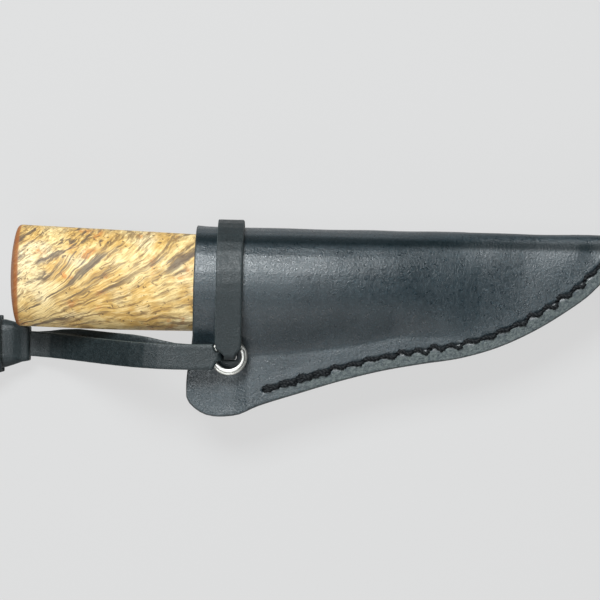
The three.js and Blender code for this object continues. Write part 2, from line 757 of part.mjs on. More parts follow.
function ringGeometry() {
  const path = [];
  const sides = [];
  const first = RING_STEP;
  const last = 720 - RING_STEP;
  const steps = 54;
  const wide = RING_OUTER_RADIUS - RING_WIRE_WIDTH / 2;
  const narrow = RING_INNER_RADIUS + RING_WIRE_WIDTH / 2;
  for (let i = 0; i <= steps; i += 1) {
    const degrees = mix(first, last, i / steps);
    const climb = smoothStep((degrees - 360 + RING_STEP) / (2 * RING_STEP));
    const angle = THREE.MathUtils.degToRad(degrees + RING_STEP_ANGLE);
    const radius = mix(wide, narrow, climb);
    const z = RING_BOTTOM + RING_WIRE_HEIGHT / 2 + climb * (RING_WIRE_HEIGHT + RING_COIL_GAP);
    const out = new THREE.Vector3(Math.cos(angle), Math.sin(angle), 0);
    path.push(new THREE.Vector3(RING_X, RING_Y, z).addScaledVector(out, radius));
    sides.push(out);
  }
  const w = RING_WIRE_WIDTH / 2;
  const h = RING_WIRE_HEIGHT / 2;
  const chamfer = 0.3;
  const section = [
    [-w + chamfer, -h], [w - chamfer, -h], [w, -h + chamfer], [w, h - chamfer],
    [w - chamfer, h], [-w + chamfer, h], [-w, h - chamfer], [-w, -h + chamfer],
  ];
  return sweep(path, () => section, (i) => sides[i]);
}

// ---------------------------------------------------------------- hanger

// The hanger's middle line: straight from the ring to the neck, then turning away from the knife.
// `run` is the distance from the mouth of the sleeve, positive away from the ring.

function hangerPlace(run) {
  const mouth = new THREE.Vector2(RING_X - NECK_START, RING_Y + HANGER_RISE);
  if (run <= 0) {
    const share = -run / NECK_START;
    const y = mix(mouth.y, RING_Y, smoothStep(share)) - HANGER_BOW * Math.sin(Math.PI * share);
    return { point: new THREE.Vector2(mouth.x - run, y), heading: Math.PI };
  }
  const point = mouth.clone();
  const steps = Math.ceil(run / 2);
  let heading = Math.PI;
  for (let i = 0; i < steps; i += 1) {
    const at = ((i + 0.5) / steps) * run;
    heading = Math.PI + THREE.MathUtils.degToRad(NECK_TURN) * smoothStep((at - 3) / NECK_TURN_LENGTH);
    point.x += (Math.cos(heading) * run) / steps;
    point.y += (Math.sin(heading) * run) / steps;
  }
  return { point, heading };
}

// The height of the underside of the sleeve, which climbs onto the lower layer of the belt loop.
function neckFloor(run) {
  return HANGER_FLOOR + mix(0, LOOP_LEATHER + GAP, smoothStep(run / (LOOP_START - 1)));
}

const NECK_CAVITY = 2 * STRAP_THICKNESS + 3 * GAP;
const NECK_HEIGHT = NECK_CAVITY + 2 * NECK_WALL;
const NECK_EDGE = 2 * NECK_WALL + GAP; // its height where it holds no strap

function neckHalfWidth(run) {
  const flared = NECK_MOUTH_HALF + NECK_FLARE * smoothStep(run / LOOP_START);
  return flared + NECK_SPREAD * smoothStep((run - LOOP_START) / (NECK_LENGTH - LOOP_START));
}

// How high the sleeve is at a distance from its middle line.
function neckTop(run, across) {
  const full = mix(NECK_HEIGHT, NECK_EDGE, smoothStep((run - STRAP_TAIL - 1) / 5));
  const shoulder = smoothStep((Math.abs(across) - STRAP_WIDTH / 2 - 0.9) / 4.3);
  return mix(full, NECK_EDGE, shoulder);
}

function hangerPoint(run, across, z) {
  const { point, heading } = hangerPlace(run);
  return new THREE.Vector3(point.x + Math.sin(heading) * across, point.y - Math.cos(heading) * across, z);
}

function neckGeometry() {
  const outerRings = [];
  const innerRings = [];
  const steps = 10;
  const columns = 11;
  for (let i = 0; i <= steps; i += 1) {
    const run = mix(0, NECK_LENGTH, i / steps);
    const floor = neckFloor(run);
    const half = neckHalfWidth(run);
    const ring = [];
    for (let k = 0; k < columns; k += 1) {
      ring.push(hangerPoint(run, mix(-half, half, k / (columns - 1)), floor));
    }
    for (let k = 0; k < columns; k += 1) {
      const across = mix(half, -half, k / (columns - 1));
      ring.push(hangerPoint(run, across, floor + neckTop(run, across)));
    }
    outerRings.push(ring);
  }
  for (let i = 0; i <= steps; i += 1) {
    const run = mix(-1, STRAP_TAIL + 2 * GAP, i / steps);
    const floor = neckFloor(run) + NECK_WALL;
    const half = STRAP_WIDTH / 2 + GAP;
    innerRings.push([[-half, 0], [half, 0], [half, NECK_CAVITY], [-half, NECK_CAVITY]]
      .map(([across, up]) => hangerPoint(run, across, floor + up)));
  }
  return toGeometry(pierced(toSolid(loft(outerRings)).subtract(toSolid(loft(innerRings)))));
}

// The strap: along the back leg to the ring, round its wire and back along the front leg.
function strapGeometry() {
  const stations = [];
  const level = NECK_START - STRAP_LEVEL;
  const legHeight = (run, legLevel, inNeck) => {
    const held = neckFloor(Math.max(run, 0)) + NECK_WALL + inNeck;
    return mix(held, legLevel, smoothStep((-run - 2) / (level - 2)));
  };
  const backInNeck = GAP + STRAP_THICKNESS / 2;
  const frontInNeck = NECK_CAVITY - GAP - STRAP_THICKNESS / 2;
  const turn = RING_X - RING_INNER_RADIUS + STRAP_IN_RING + STRAP_THICKNESS / 2;
  const lastRun = -(turn - 1.2 - (RING_X - NECK_START));
  const runs = [STRAP_TAIL, 12, 8, 4, 0, -2];
  const between = 13;
  for (let i = 1; i <= between; i += 1) {
    runs.push(mix(-2, lastRun, i / between));
  }
  runs.splice(-1, 0, lastRun + STRAP_TAPER);
  const taperEnd = turn - STRAP_BEND - GAP / 2;
  const widthAt = (x) => mix(STRAP_WAIST, STRAP_WIDTH, smoothStep((taperEnd - x) / STRAP_TAPER));
  const backShift = (run) => {
    const leavesNeck = smoothStep((-run - 1) / 14);
    return BACK_LEG_SHIFT * leavesNeck * smoothStep((run - lastRun - 9) / 16);
  };
  const leg = (run, legLevel, inNeck, shift) => {
    const place = hangerPoint(run, shift, legHeight(run, legLevel, inNeck));
    return { place, width: widthAt(place.x), heading: hangerPlace(run).heading };
  };
  runs.forEach((run) => stations.push(leg(run, BACK_LEG, backInNeck, backShift(run))));
  const radius = STRAP_BEND;
  const bends = [];
  for (const degrees of [-45, 0]) {
    const angle = THREE.MathUtils.degToRad(degrees);
    bends.push([turn - radius + radius * Math.cos(angle), BACK_LEG + radius + radius * Math.sin(angle)]);
  }
  for (const degrees of [0, 45]) {
    const angle = THREE.MathUtils.degToRad(degrees);
    bends.push([turn - radius + radius * Math.cos(angle), FRONT_LEG - radius + radius * Math.sin(angle)]);
  }
  bends.forEach(([x, z]) => {
    stations.push({ place: new THREE.Vector3(x, RING_Y, z), width: STRAP_WAIST, heading: Math.PI });
  });
  [...runs].reverse().forEach((run) => stations.push(leg(run, FRONT_LEG, frontInNeck, 0)));
  return toGeometry(pierced(toSolid(sweep(
    stations.map(({ place }) => place),
    (i) => flatSection(stations[i].width, STRAP_THICKNESS),
    (i) => new THREE.Vector3(-Math.sin(stations[i].heading), Math.cos(stations[i].heading), 0),
  ))));
}

function loopHalfWidth(run) {
  const start = neckHalfWidth(LOOP_START) + LOOP_OVERHANG;
  return mix(start, LOOP_WIDTH / 2, smoothStep((run - LOOP_START) / LOOP_FLARE));
}

const LOOP_END = LOOP_OPENING_START + BELT_WIDTH;
const LOOP_TOP = HANGER_FLOOR + LOOP_LEATHER; // the upper face of its lower layer

// The underside of the upper layer of the belt loop.
function loopCeiling(run, across) {
  const onSleeve = LOOP_TOP + GAP + neckTop(Math.min(run, NECK_LENGTH), across)
    + CEILING_SLACK * NECK_HEIGHT;
  const open = LOOP_TOP + BELT_GAP;
  return mix(onSleeve, open, smoothStep((run - NECK_LENGTH + 3) / (LOOP_OPENING_START - NECK_LENGTH + 1)));
}

function loopGeometry() {
  const columns = 11;
  const rows = [];
  const steps = 14;
  const spread = (run, height) => {
    const half = loopHalfWidth(run);
    return Array.from({ length: columns }, (_, k) => {
      const across = mix(-half, half, k / (columns - 1));
      return hangerPoint(run, across, height(across));
    });
  };
  const strip = (run, low, high) => [...spread(run, low), ...spread(run, high).reverse()];
  for (let i = 0; i <= steps; i += 1) {
    const run = mix(LOOP_START, LOOP_END, i / steps);
    rows.push(strip(
      run,
      (across) => loopCeiling(run, across),
      (across) => loopCeiling(run, across) + LOOP_LEATHER,
    ));
  }
  // Round the far end and back underneath.
  const inside = BELT_GAP / 2;
  const centre = LOOP_TOP + inside;
  for (const degrees of [60, 30, 0, -30, -60]) {
    const angle = THREE.MathUtils.degToRad(degrees);
    const half = loopHalfWidth(LOOP_END);
    const inner = [];
    const outer = [];
    for (let k = 0; k < columns; k += 1) {
      const across = mix(-half, half, k / (columns - 1));
      const reach = inside + LOOP_LEATHER;
      inner.push(hangerPoint(LOOP_END + inside * Math.cos(angle), across, centre + inside * Math.sin(angle)));
      outer.push(hangerPoint(LOOP_END + reach * Math.cos(angle), across, centre + reach * Math.sin(angle)));
    }
    rows.push([...inner, ...outer.reverse()]);
  }
  for (let i = steps; i >= 0; i -= 1) {
    rows.push(strip(mix(LOOP_START, LOOP_END, i / steps), () => LOOP_TOP, () => HANGER_FLOOR));
  }
  return toGeometry(pierced(toSolid(loft(rows))));
}

// Cuts the two holes of the stitch that holds the hanger together.
function pierced(solid) {
  return [-LOOP_STITCH, LOOP_STITCH].reduce((rest, across) => {
    const centre = hangerPoint(LOOP_THREAD_AT, across, 0);
    const radius = THREAD_RADIUS + 2 * GAP;
    const hole = new THREE.CylinderGeometry(radius, radius, 2 * MIDDLE, 6).rotateX(Math.PI / 2);
    return rest.subtract(toSolid(hole.translate(centre.x, centre.y, MIDDLE)));
  }, solid);
}

// A closed loop of thread through the neck: over the belt loop, down, under it and up again.
function hangerThreadGeometry() {
  const clear = THREAD_RADIUS + GAP;
  const top = loopCeiling(LOOP_THREAD_AT, LOOP_STITCH) + LOOP_LEATHER + clear;
  const bottom = HANGER_FLOOR - clear;
  const corner = THREAD_CORNER;
  const quarter = [[LOOP_STITCH - corner, top], [LOOP_STITCH, top - corner],
    [LOOP_STITCH, bottom + corner], [LOOP_STITCH - corner, bottom]];
  const loop = [...quarter, ...quarter.map(([across, z]) => [-across, z]).reverse()];
  const path = loop.map(([across, z]) => hangerPoint(LOOP_THREAD_AT, across, z));
  const { heading } = hangerPlace(LOOP_THREAD_AT);
  const along = new THREE.Vector3(Math.cos(heading), Math.sin(heading), 0);
  return sweep(path, () => roundSection(THREAD_RADIUS, 6), () => along, true);
}

// ---------------------------------------------------------------- assembly

function piece(name, geometry, color, roughness, metalness = 0) {
  const mesh = new THREE.Mesh(geometry, new THREE.MeshStandardMaterial({ color, roughness, metalness }));
  mesh.name = name;
  return mesh;
}

const BLACK_LEATHER = 0x2e3438;
const BLACK_THREAD = 0x15171a;

const knife = new THREE.Group();
knife.add(piece('handle', handleGeometry(), 0xd8bf8b, 0.35));
knife.add(piece('tang_epoxy', epoxyGeometry(), 0xb9a46a, 0.4));
knife.add(piece('blade', bladeGeometry(), 0xb9bcbf, 0.3, 1));

const sheath = new THREE.Group();
sheath.add(piece('sheath_shell', shellGeometry(), BLACK_LEATHER, 0.5));
sheath.add(piece('welt', weltGeometry(), BLACK_LEATHER, 0.7));
sheath.add(piece('seam_thread_a', threadGeometry(1, THREAD_OFFSET), BLACK_THREAD, 0.7));
sheath.add(piece('seam_thread_b', threadGeometry(-1, -THREAD_OFFSET), BLACK_THREAD, 0.7));
sheath.add(piece('collar_strap', collarGeometry(), BLACK_LEATHER, 0.5));

const ring = new THREE.Group();
ring.add(piece('split_ring', ringGeometry(), 0xb0b0ac, 0.3, 1));

const hanger = new THREE.Group();
hanger.add(piece('hanger_strap', strapGeometry(), BLACK_LEATHER, 0.5));
hanger.add(piece('neck_sleeve', neckGeometry(), BLACK_LEATHER, 0.55));
hanger.add(piece('belt_loop', loopGeometry(), BLACK_LEATHER, 0.5));
hanger.add(piece('hanger_thread', hangerThreadGeometry(), BLACK_THREAD, 0.7));

const object = new THREE.Group();
object.add(knife, sheath, ring, hanger);
object.position.x = -REST_X;

export default object;
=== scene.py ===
import math

import bmesh
import bpy
import numpy as np
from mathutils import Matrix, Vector, noise
from mathutils.bvhtree import BVHTree
from mathutils.kdtree import KDTree


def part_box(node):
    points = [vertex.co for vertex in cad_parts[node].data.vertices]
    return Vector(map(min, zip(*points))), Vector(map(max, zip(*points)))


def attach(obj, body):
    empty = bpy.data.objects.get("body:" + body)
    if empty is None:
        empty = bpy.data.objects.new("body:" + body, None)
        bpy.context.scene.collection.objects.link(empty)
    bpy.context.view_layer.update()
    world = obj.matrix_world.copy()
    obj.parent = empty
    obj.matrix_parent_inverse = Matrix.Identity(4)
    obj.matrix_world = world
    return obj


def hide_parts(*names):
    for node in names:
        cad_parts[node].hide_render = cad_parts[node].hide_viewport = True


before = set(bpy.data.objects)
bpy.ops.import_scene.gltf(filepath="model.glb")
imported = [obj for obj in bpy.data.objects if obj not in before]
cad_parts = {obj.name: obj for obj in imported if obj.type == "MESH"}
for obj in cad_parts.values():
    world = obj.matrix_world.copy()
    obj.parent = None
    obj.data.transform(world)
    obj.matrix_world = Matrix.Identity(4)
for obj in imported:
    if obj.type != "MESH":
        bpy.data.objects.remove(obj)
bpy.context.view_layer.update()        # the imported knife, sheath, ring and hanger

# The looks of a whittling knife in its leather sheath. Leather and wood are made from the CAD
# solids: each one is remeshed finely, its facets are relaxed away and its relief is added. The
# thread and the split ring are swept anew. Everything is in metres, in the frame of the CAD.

MM = 0.001

# Leather and wood. Rounds are rounds of relaxing, and softening ones also round the edges.
SHEATH_VOXEL = 0.36 * MM
SHEATH_ROUNDS = 240
SHEATH_SOFTENING = 5
STRAP_VOXEL = 0.28 * MM
STRAP_ROUNDS = 110
STRAP_SOFTENING = 4
HANDLE_VOXEL = 0.5 * MM
HANDLE_ROUNDS = 60
SAMPLE_STEP = 0.5 * MM       # between the points that stand for a cut face
EDGE_HELD = 0.5 * MM         # how near to an edge nothing is relaxed
EDGE_FADE = 2.5 * MM         # and the length over which the relaxing sets in
FOLD_DEPTH = 2.5 * MM        # from the spine down to where faces can be cut edges
MOUTH_REACH = 4 * MM         # from the front of the mouth to the end of its cut faces
SWAY = 0.2 * MM              # how far the leather is from even
SWAY_WAVES = 90              # per metre
FLOOR_CLEAR = 0.3 * MM       # the sway sets in above this height
FLOOR_FADE = 3 * MM
SEAM_SAMPLES = 8             # between two holes, for the line of the seam
SEAM_CHANNEL_WIDTH = 1.3 * MM
SEAM_CHANNEL_DEPTH = 0.32 * MM
GROOVE_HALF = 0.5 * MM       # of the thread's dark line on the leather
GROOVE_FADE = 0.9 * MM
RIM_WIDTH = 0.1 * MM
RIM_FADE = 0.35 * MM
MARGIN_WIDTH = 2.5 * MM      # of the rough strip along the cut edge
MARGIN_FADE = 0.9 * MM
MARGIN_START = 19.52 * MM    # from the mouth to where that strip sets in
MARGIN_RISE = 20 * MM
TIP_DENT_DEPTH = 0.3 * MM
TIP_DENT_RADIUS = 5 * MM
TIP_DENT_BACK = 12.84 * MM   # from the tip of the sheath
TIP_DENT_DOWN = 5.62 * MM    # from its spine
SHADE_BAND_DEPTH = 4.1 * MM   # from the spine of the sheath down to its band of painted shade
SHADE_BAND_HALF = 0.4 * MM
SHADE_BAND_FADE = 1.7 * MM
FAN_BACK = 11 * MM           # from the handle's end to the place that its streaks fan out from
FAN_DOWN = 3 * MM            # from its lower side to that place
DASH_SLANT = -38             # degrees
BUTT_RIM = 2.6 * MM          # from the end of the handle to the rim of its butt
BUTT_RIM_WIDTH = 1.2 * MM
BUTT_RIM_HOLD = 0.85         # how much the relaxing spares the rim
BLADE_END_FADE = 2 * MM      # from the hidden end of the handle, which isn't relaxed

# Thread
STRAND_RADIUS = 0.36 * MM
STRAND_SIDES = 8
STRAND_OFFSET = 0.3 * MM
TWIST_LENGTH = 2.3 * MM      # along the thread, for one turn of its strands
STITCH_SLANT = 0.6 * MM
STITCH_STEPS = 14
STITCH_SIDE_STEP = 0.2 * MM  # how far each thread keeps to its side of a hole
STITCH_BITE = 0.55 * MM      # how deep its bends lie in a hole
STITCH_SINK = 1.1 * MM       # how far a stitch goes down at its ends
STITCH_SINK_SHARE = 0.3      # share of the stitch at each end that goes down
HOLE_RADIUS = 1.25 * MM      # as it is cut in the CAD
HOLE_APART = 1.2 * MM        # crossings nearer than this belong to one hole
HOLE_CLOSING = 0.75 * MM     # how much the leather closes it round the threads
HOLE_DRAW_REACH = 3.4 * MM   # how far from its middle the leather is drawn in
HOLE_DRAW_FADE = 2 * MM
BESIDE_HOLE = 2.2 * MM       # from its middle to leather that is whole
RAY_START = 100 * MM         # well clear of the sheath
KNOT_STITCHES = 4            # stitches at the start of the seam that are sewn twice
KNOT_SHIFTS = (-0.5 * MM, 0.6 * MM)
KNOT_WAVE = 0.25 * MM
KNOT_STEPS = 12
KNOT_SINK = 0.9 * MM
KNOT_SINK_SHARE = 0.2

# Split ring
WIRE_WIDTH = 1.3 * MM
WIRE_HEIGHT = 1.02 * MM
WIRE_SIDES = 20
WIRE_ROUNDNESS = 0.7         # exponent of the section: 1 is an ellipse
COIL_INSET = 0.6 * MM        # how far the inner coil ends inside the outer one
RING_POINTS = 260
RING_STEP = 30               # degrees on each side of the place where the wire changes coils
RING_STEP_ANGLE = 60

# Colours
WOOD = {
    "cream": (0.68, 0.5, 0.22),
    "yellow": (0.55, 0.34, 0.1),
    "bleached": (0.73, 0.61, 0.37),
    "amber": (0.52, 0.2, 0.04),
    "brown fibre": (0.29, 0.17, 0.06),
    "pale fibre": (0.82, 0.68, 0.38),
    "line": (0.13, 0.075, 0.035),
    "streak": (0.075, 0.052, 0.04),
    "speck": (0.11, 0.07, 0.035),
    "end grain": (0.23, 0.075, 0.02),
}
SHEATH_DARK = (0.007, 0.0125, 0.016)
SHEATH_LIGHT = (0.015, 0.024, 0.029)
SHEATH_CUT = (0.02, 0.024, 0.024)
STRAP_DARK = (0.0035, 0.007, 0.008)
STRAP_LIGHT = (0.008, 0.013, 0.0145)
STRAP_CUT = (0.065, 0.08, 0.08)
SCUFFED = (0.065, 0.08, 0.077)
GROOVE_DARK = (0.008, 0.011, 0.013)
# painted shade for the band where the sheath's leather bends over its spine
FOLD_PAINTED_SHADE = (0.002, 0.005, 0.006)
THREAD_BLACK = (0.002, 0.003, 0.004)
THREAD_FUZZ = (0.01, 0.012, 0.014)
EPOXY_DEEP = (0.5, 0.34, 0.1)
EPOXY_CLOUDY = (0.62, 0.47, 0.2)
NICKEL = (0.5, 0.49, 0.46)
BLADE_STEEL = (0.58, 0.59, 0.6)
COOL_WHITE = (0.93, 0.98, 1)

# Stage
FLOOR_HALF = 3.0
FLOOR_GAP = 0.05 * MM        # between the object and the floor
FLOOR_GREY = 0.06
FLOOR_GLOW = 0.63
WORLD_COLOR = (0.9, 0.97, 1, 1)
WORLD_STRENGTH = 0.07
LIGHTS = {                   # place, target, size, watts and colour
    "overhead": ((-0.19, 0.43, 0.72), (-0.02, 0, 0), (0.42, 0.3), 12.4, COOL_WHITE),
    "flap_fill": ((-0.13, -0.14, 0.75), (-0.05, -0.04, 0), (0.3, 0.2), 1.7, COOL_WHITE),
    "front_fill": ((-0.1, -0.75, 0.55), (0, 0, 0), (0.8, 0.4), 2.5, (1, 1, 1)),
}

# Camera
LENS = 150
SENSOR = 36
VIEW_WIDTH = 174 * MM
VIEW_X = -7.1 * MM           # what the middle of the picture looks at
VIEW_Y = -4.4 * MM
VIEW_TURN = 1.2              # degrees


# ------------------------------------------------------------------ meshes from the CAD solids

def mesh_arrays(mesh):
    """The points and the edges of a mesh as arrays."""
    points = np.empty(len(mesh.vertices) * 3)
    mesh.vertices.foreach_get("co", points)
    edges = np.empty(len(mesh.edges) * 2, dtype=np.int64)
    mesh.edges.foreach_get("vertices", edges)
    return points.reshape(-1, 3), edges.reshape(-1, 2)


def vertex_normals(mesh):
    normals = np.empty(len(mesh.vertices) * 3)
    mesh.vertices.foreach_get("normal", normals)
    return normals.reshape(-1, 3)


def link(name, mesh):
    made = bpy.data.objects.new(name, mesh)
    bpy.context.scene.collection.objects.link(made)
    return made


def remeshed(node, voxel):
    """A copy of a CAD node's solid as an even mesh of small quads."""
    helper = link("helper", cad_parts[node].data.copy())
    modifier = helper.modifiers.new("even", "REMESH")
    modifier.mode = "VOXEL"
    modifier.voxel_size = voxel
    graph = bpy.context.evaluated_depsgraph_get()
    mesh = bpy.data.meshes.new_from_object(helper.evaluated_get(graph))
    bpy.data.objects.remove(helper)
    mesh.materials.clear()
    return mesh


def relaxed(points, edges, rounds, weight):
    """Takes facets and steps out of a surface without shrinking it: each round draws the points
    to their neighbours and then swells the surface again. `weight` is each point's share of it."""
    count = len(points)
    ends = np.concatenate([edges[:, 0], edges[:, 1]])
    others = np.concatenate([edges[:, 1], edges[:, 0]])
    neighbours = np.bincount(ends, minlength=count)
    for _ in range(rounds):
        for factor in (0.5, -0.52):
            mean = np.stack([
                np.bincount(ends, weights=points[others, axis], minlength=count) / neighbours
                for axis in range(3)
            ], axis=1)
            points = points + (factor * weight)[:, None] * (mean - points)
    return points


def set_points(mesh, points):
    mesh.vertices.foreach_set("co", points.ravel())
    mesh.update()


def set_attribute(mesh, name, values):
    attribute = mesh.attributes.new(name, "FLOAT", "POINT")
    attribute.data.foreach_set("value", np.asarray(values, dtype=np.float32))


def smooth_shaded(mesh):
    mesh.polygons.foreach_set("use_smooth", [True] * len(mesh.polygons))


def face_samples(node, wanted):
    """Points spread over those triangles of a CAD node whose normal and centre are wanted."""
    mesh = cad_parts[node].data
    mesh.calc_loop_triangles()
    samples = []
    for triangle in mesh.loop_triangles:
        a, b, c = (mesh.vertices[i].co for i in triangle.vertices)
        if not wanted(triangle.normal, (a + b + c) / 3):
            continue
        steps = max(1, math.ceil(max((b - a).length, (c - a).length) / SAMPLE_STEP))
        for i in range(steps + 1):
            for j in range(steps + 1 - i):
                samples.append(a + (b - a) * (i / steps) + (c - a) * (j / steps))
    return samples


def distance_to(samples, points):
    """How far each point is from the nearest sample."""
    tree = KDTree(len(samples))
    for i, sample in enumerate(samples):
        tree.insert(sample, i)
    tree.balance()
    return np.array([tree.find(point)[2] for point in points])


def smooth_step(values):
    clamped = np.clip(values, 0, 1)
    return clamped * clamped * (3 - 2 * clamped)


def finish_piece(name, mesh, material, body, node):
    """Puts a mesh in the scene for a CAD node, on its body and in its material slot."""
    smooth_shaded(mesh)
    mesh.materials.append(material)
    made = link(name, mesh)
    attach(made, body)
    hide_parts(node)
    return made


# ------------------------------------------------------------------ swept meshes

def sweep_axes(path, side):
    """Two directions square to a path at each of its points, the first one nearest to `side`."""
    tangent = np.gradient(path, axis=0)
    tangent /= np.linalg.norm(tangent, axis=1)[:, None]
    side = side - (side * tangent).sum(axis=1)[:, None] * tangent
    side /= np.linalg.norm(side, axis=1)[:, None]
    return side, np.cross(tangent, side)


def swept(path, side, section):
    """Points and faces of a section swept along a path and closed at both ends. `side` holds the
    direction in which the section's first number is laid off at each point of the path."""
    path = np.asarray(path)
    side, across = sweep_axes(path, np.asarray(side))
    section = np.asarray(section)
    points = path[:, None] + section[:, :1] * side[:, None] + section[:, 1:] * across[:, None]
    rows = len(path)
    columns = len(section)
    faces = []
    for i in range(rows - 1):
        for j in range(columns):
            k = (j + 1) % columns
            here = i * columns
            there = here + columns
            faces.append((here + j, here + k, there + k, there + j))
    faces.append(tuple(range(columns - 1, -1, -1)))
    faces.append(tuple((rows - 1) * columns + j for j in range(columns)))
    return points.reshape(-1, 3), faces


def mesh_from(name, parts):
    """One mesh from several (points, faces) parts, with its faces pointing out."""
    points = []
    faces = []
    for part_points, part_faces in parts:
        start = len(points)
        points.extend(part_points)
        faces.extend(tuple(start + i for i in face) for face in part_faces)
    mesh = bpy.data.meshes.new(name)
    mesh.from_pydata([tuple(point) for point in points], [], faces)
    work = bmesh.new()
    work.from_mesh(mesh)
    bmesh.ops.recalc_face_normals(work, faces=work.faces)
    work.to_mesh(mesh)
    work.free()
    return mesh


# ------------------------------------------------------------------ materials

class Shader:
    """A material with short calls for its nodes. Places are in millimetres of the object's frame."""

    def __init__(self, name):
        self.material = bpy.data.materials.new(name)
        self.material.use_nodes = True
        self.tree = self.material.node_tree
        self.surface = self.tree.nodes["Principled BSDF"]
        place = self.add("ShaderNodeTexCoord").outputs["Object"]
        self.place = self.vector("SCALE", place, Scale=1 / MM)

    def add(self, kind, inputs=None, **settings):
        made = self.tree.nodes.new(kind)
        for key, value in settings.items():
            setattr(made, key, value)
        for key, value in (inputs or {}).items():
            if isinstance(value, bpy.types.NodeSocket):
                self.tree.links.new(value, made.inputs[key])
            else:
                made.inputs[key].default_value = value
        return made

    def vector(self, operation, first, second=None, **inputs):
        wanted = {0: first, **inputs}
        if second is not None:
            wanted[1] = second
        return self.add("ShaderNodeVectorMath", wanted, operation=operation).outputs["Vector"]

    def math(self, operation, first, second, clamp=False):
        return self.add(
            "ShaderNodeMath", {0: first, 1: second}, operation=operation, use_clamp=clamp,
        ).outputs[0]

    def marked(self, name, share):
        """A share of what an attribute says."""
        return self.math("MULTIPLY", self.attribute(name), share)

    def noise(self, scale, detail=3.0, vector=None, roughness=0.55, distortion=0.0):
        return self.add("ShaderNodeTexNoise", {
            "Vector": vector or self.place,
            "Scale": scale,
            "Detail": detail,
            "Roughness": roughness,
            "Distortion": distortion,
        })

    def range(self, value, low, high, to_low=0.0, to_high=1.0):
        return self.add("ShaderNodeMapRange", {
            "Value": value,
            "From Min": low,
            "From Max": high,
            "To Min": to_low,
            "To Max": to_high,
        }, interpolation_type="SMOOTHSTEP").outputs["Result"]

    def mix(self, share, first, second):
        made = self.add("ShaderNodeMix", {0: share}, data_type="RGBA")
        for socket, value in ((made.inputs[6], first), (made.inputs[7], second)):
            if isinstance(value, bpy.types.NodeSocket):
                self.tree.links.new(value, socket)
            else:
                socket.default_value = (*value, 1)
        return made.outputs[2]

    def attribute(self, name):
        return self.add("ShaderNodeAttribute", attribute_name=name).outputs["Fac"]

    def separate(self, vector):
        return self.add("ShaderNodeSeparateXYZ", {0: vector}).outputs

    def combine(self, x, y, z):
        return self.add("ShaderNodeCombineXYZ", {0: x, 1: y, 2: z}).outputs[0]

    def bump(self, height, strength, distance, normal=None):
        inputs = {"Height": height, "Strength": strength, "Distance": distance}
        if normal is not None:
            inputs["Normal"] = normal
        return self.add("ShaderNodeBump", inputs).outputs[0]

    def set(self, **values):
        for key, value in values.items():
            socket = self.surface.inputs[key.replace("_", " ")]
            if isinstance(value, bpy.types.NodeSocket):
                self.tree.links.new(value, socket)
            elif isinstance(value, tuple):
                socket.default_value = (*value, 1)
            else:
                socket.default_value = value
        return self.material


def leather(name, dark, light, cut, roughness, gloss, shade_band_gloss):
    """Dyed leather: cloudy colour, a crinkled grain and fibrous cut edges. `dark` and `light` are
    its two colours and `cut` the colour of its edges. The attributes rim, margin and groove mark
    the cut edges, the rougher strip along them and the channel of the seam; one more attribute marks
    a band of painted shade, darker and less glossy, where the leather bends over the spine. The last
    argument is that band's share of the gloss."""
    shader = Shader(name)
    clouds = shader.noise(0.05, 4, distortion=0.6).outputs["Fac"]
    mottle = shader.noise(0.8, 4, roughness=0.65).outputs["Fac"]
    flecks = shader.noise(2.1, 3, roughness=0.7).outputs["Fac"]
    scuffs = shader.noise(1.1, 4, roughness=0.7).outputs["Fac"]
    cloudy = shader.range(clouds, 0.35, 0.68, 0, 0.5)
    mottled = shader.range(mottle, 0.3, 0.7, 0, 0.5)
    color = shader.mix(shader.math("ADD", cloudy, mottled), dark, light)
    color = shader.mix(shader.range(flecks, 0.48, 0.72, 0, 0.55), color, tuple(2.8 * c for c in light))
    rub = shader.marked("margin", shader.range(scuffs, 0.38, 0.6, 0.1, 1))
    color = shader.mix(rub, color, SCUFFED)
    color = shader.mix(shader.marked("groove", 0.8), color, GROOVE_DARK)
    # painted shade: darkens the band where the leather bends over the spine
    color = shader.mix(shader.marked("fold_shade", 0.7), color, FOLD_PAINTED_SHADE)
    color = shader.mix(shader.attribute("rim"), color, cut)
    crinkle = shader.noise(1.7, 3, roughness=0.6, distortion=0.6).outputs["Fac"]
    fine = shader.noise(2.6, 4, roughness=0.7).outputs["Fac"]
    grain = shader.bump(crinkle, 0.28, 0.45 * MM)
    grain = shader.bump(fine, 0.3, 0.2 * MM, grain)
    rough = shader.math("ADD", shader.attribute("rim"), shader.marked("margin", 0.6), clamp=True)
    fibres = shader.noise(1.8, 4, roughness=0.7).outputs["Fac"]
    relief = shader.bump(fibres, rough, 0.6 * MM, grain)
    worn = shader.range(mottle, 0.3, 0.75, roughness - 0.07, roughness + 0.12)
    worn = shader.math("ADD", worn, shader.math("MULTIPLY", rough, 0.2))
    # the band of painted shade also keeps only a share of the gloss
    if shade_band_gloss < 1:
        gloss_kept_in_shade = shader.math("SUBTRACT", 1.0, shader.marked("fold_shade", 1 - shade_band_gloss))
        gloss = shader.math("MULTIPLY", gloss_kept_in_shade, gloss)
    return shader.set(Base_Color=color, Roughness=worn, Normal=relief, Specular_IOR_Level=gloss)


